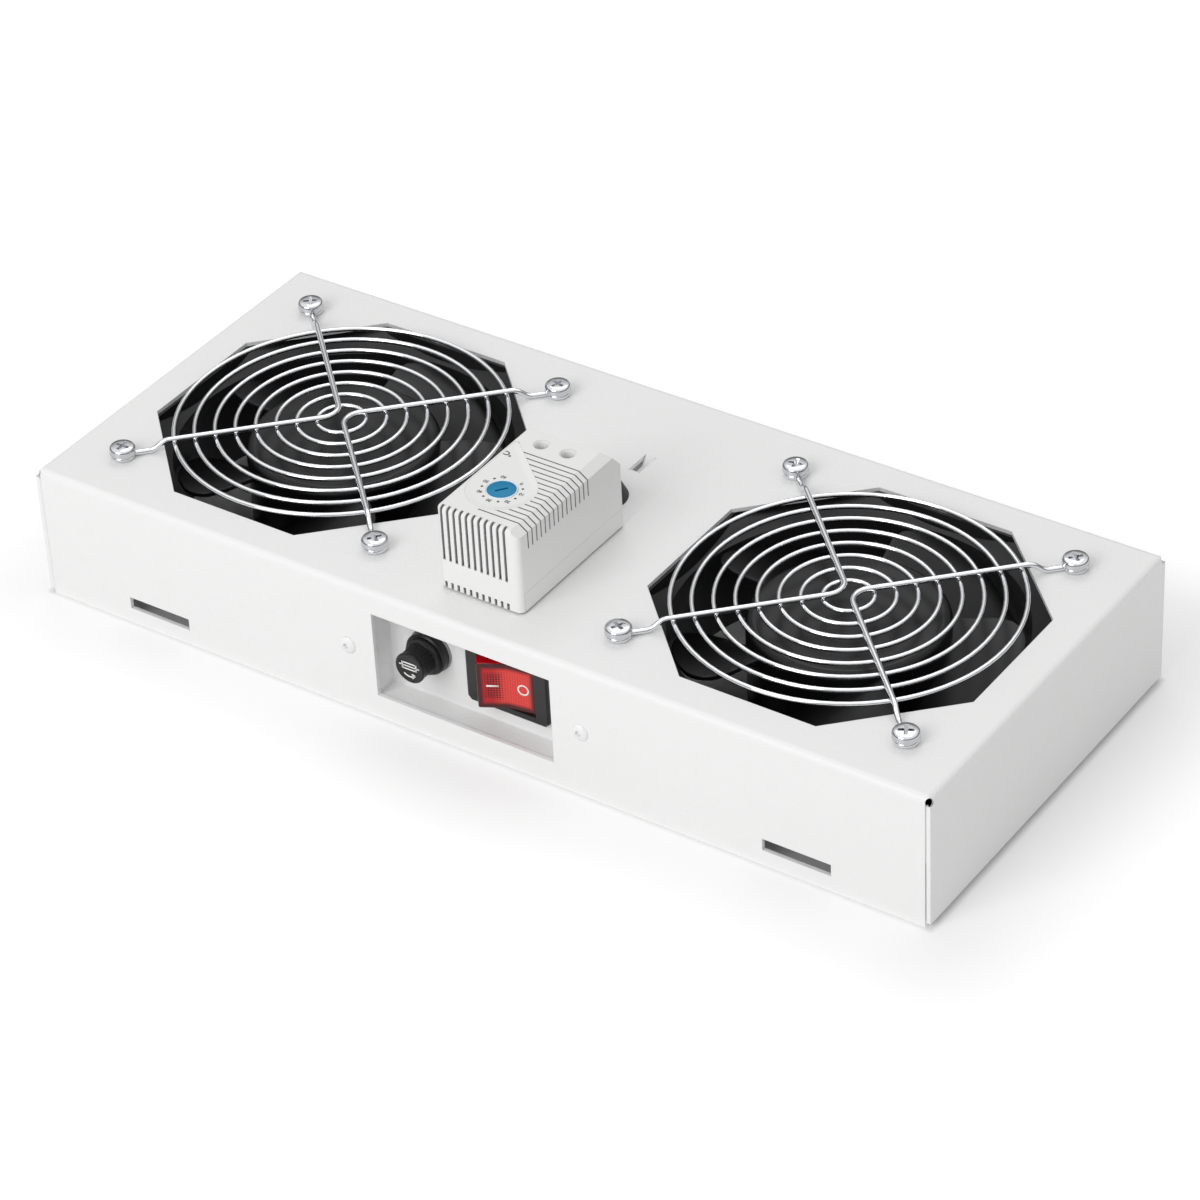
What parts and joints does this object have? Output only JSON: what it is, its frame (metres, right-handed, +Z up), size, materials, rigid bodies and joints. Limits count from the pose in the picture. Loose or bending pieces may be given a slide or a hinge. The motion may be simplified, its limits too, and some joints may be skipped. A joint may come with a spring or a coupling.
{
  "type": "rack fan tray",
  "caption": "Folded sheet tray for a cabinet roof with mains fans under wire guards, a slotted thermostat, and a fuse holder and rocker switch set back in the front wall.",
  "frame": {"origin": "under the middle of the tray, at the lower edge of its long walls", "axes": "+X along the long side to the switch end, +Z up, the front wall with the controls faces -Y"},
  "size_m": [0.347, 0.1491, 0.0816],
  "materials": {
    "tray_paint": "light grey powder coat with a fine texture",
    "recess_paint": "light grey powder coat",
    "rivet_aluminium": "painted over head, bright mandrel",
    "fan_frame_black": "black coat on cast metal",
    "impeller_black": "glossy black plastic",
    "guard_chrome": "bright plated wire",
    "screw_steel": "zinc plated",
    "shaft_steel": "ground",
    "rotor_steel": "plain steel",
    "lamination_steel": "dark stamped steel",
    "winding_copper": "enamelled copper wire",
    "black_plastic": "satin black",
    "washer_grey": "soft grey",
    "grommet_rubber": "matte dark grey",
    "rocker_red": "clear red",
    "terminal_brass": "tinned brass",
    "fuse_glass": "clear tube",
    "fuse_metal": "nickel plated",
    "thermostat_white": "satin off-white",
    "dial_blue": "satin blue",
    "bimetal": "rolled strip",
    "block_white": "plain"
  },
  "bodies": {
    "tray": {"tray_housing": "tray_paint", "control_recess": "recess_paint", "recess_rivets": "rivet_aluminium", "lead_grommet": "grommet_rubber", "fuse_holder": "black_plastic", "fuse_holder_washer": "washer_grey", "fuse_holder_nut": "black_plastic", "fuse_holder_contacts": "terminal_brass", "switch_housing": "black_plastic", "switch_terminals": "terminal_brass", "thermostat_base": "thermostat_white", "thermostat_cover": "thermostat_white", "thermostat_frame": "fuse_metal", "bimetal_strip": "bimetal", "terminal_block": "block_white", "terminal_screws": "screw_steel", "thermostat_screws": "screw_steel", "left_fan_frame": "fan_frame_black", "left_ball_bearings": "shaft_steel", "left_stator_core": "lamination_steel", "left_stator_coils": "winding_copper", "left_finger_guard": "guard_chrome", "left_guard_screws": "screw_steel", "left_guard_nuts": "screw_steel", "right_fan_frame": "fan_frame_black", "right_ball_bearings": "shaft_steel", "right_stator_core": "lamination_steel", "right_stator_coils": "winding_copper", "right_finger_guard": "guard_chrome", "right_guard_screws": "screw_steel", "right_guard_nuts": "screw_steel"},
    "left_rotor": {"left_impeller": "impeller_black", "left_rotor_ring": "rotor_steel", "left_motor_shaft": "shaft_steel", "left_shaft_clip": "shaft_steel"},
    "right_rotor": {"right_impeller": "impeller_black", "right_rotor_ring": "rotor_steel", "right_motor_shaft": "shaft_steel", "right_shaft_clip": "shaft_steel"},
    "rocker": {"switch_rocker": "rocker_red"},
    "dial": {"thermostat_dial": "dial_blue"},
    "fuse": {"fuse_glass": "fuse_glass", "fuse_end_caps": "fuse_metal"},
    "fuse_carrier": {"fuse_cap": "black_plastic"}
  },
  "joints": [
    {"name": "left_fan_spin", "type": "hinge", "parent": "tray", "child": "left_rotor", "pos_m": [-0.1, 0, 0.03], "axis": [0, 0, 1], "continuous": true},
    {"name": "right_fan_spin", "type": "hinge", "parent": "tray", "child": "right_rotor", "pos_m": [0.1, 0, 0.03], "axis": [0, 0, 1], "continuous": true},
    {"name": "rocker_tip", "type": "hinge", "parent": "tray", "child": "rocker", "pos_m": [0.0116, -0.0629, 0.0267], "axis": [0, 0, -1], "range_deg": [0, 36]},
    {"name": "dial_turn", "type": "hinge", "parent": "tray", "child": "dial", "pos_m": [-0.0037, -0.0405, 0.08], "axis": [0, 0, 1], "range_deg": [-145, 145]},
    {"name": "fuse_draw", "type": "slide", "parent": "tray", "child": "fuse", "axis": [0, -1, 0], "range_m": [0, 0.028]},
    {"name": "cap_turn", "type": "hinge", "parent": "fuse", "child": "fuse_carrier", "pos_m": [-0.0192, -0.07, 0.0269], "axis": [0, -1, 0], "range_deg": [0, 90]}
  ]
}
